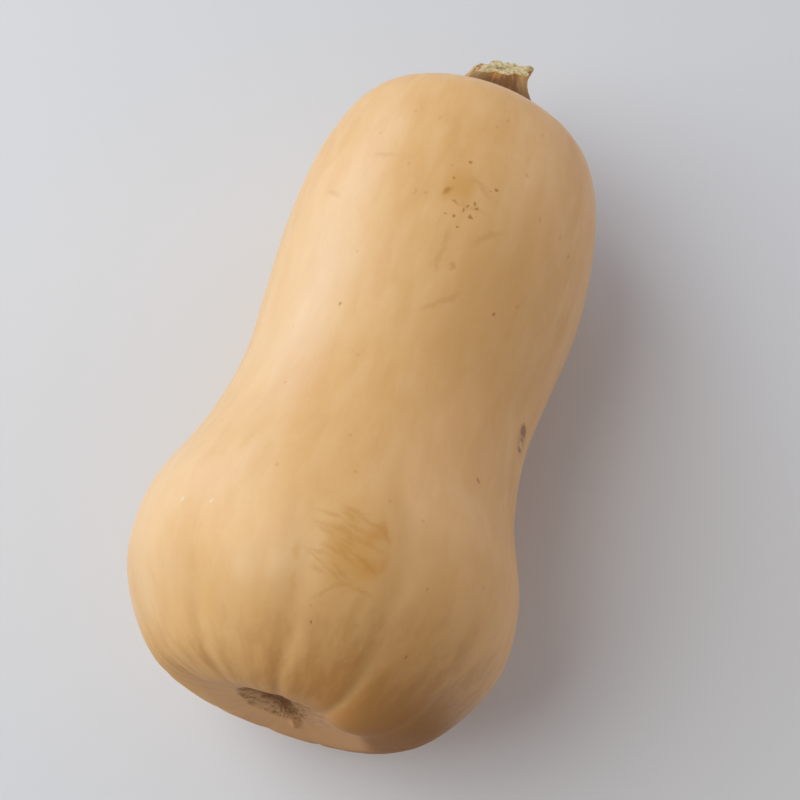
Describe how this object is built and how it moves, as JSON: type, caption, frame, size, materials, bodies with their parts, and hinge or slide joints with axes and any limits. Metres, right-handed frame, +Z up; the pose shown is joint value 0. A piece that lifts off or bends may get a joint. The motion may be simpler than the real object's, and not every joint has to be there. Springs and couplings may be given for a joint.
{
  "type": "butternut squash",
  "caption": "Whole butternut squash lying on its side: round bulb, slight waist, thick neck, dimpled blossom end and a dry cut stub of stem.",
  "frame": {"origin": "on the surface the squash rests on, below the centre of its bounding box", "axes": "+Y along the squash towards the stem, so the blossom end is at -Y; +Z up; X across"},
  "size_m": [0.1172, 0.2404, 0.116],
  "materials": {
    "skin": "hard, smooth, waxy-matt rind, pale peach tan, with small corky scars",
    "stem": "dry, ribbed, brown and fibrous, with a pale torn cut face"
  },
  "bodies": {
    "root": {"fruit": "skin", "stem": "stem"}
  },
  "joints": []
}
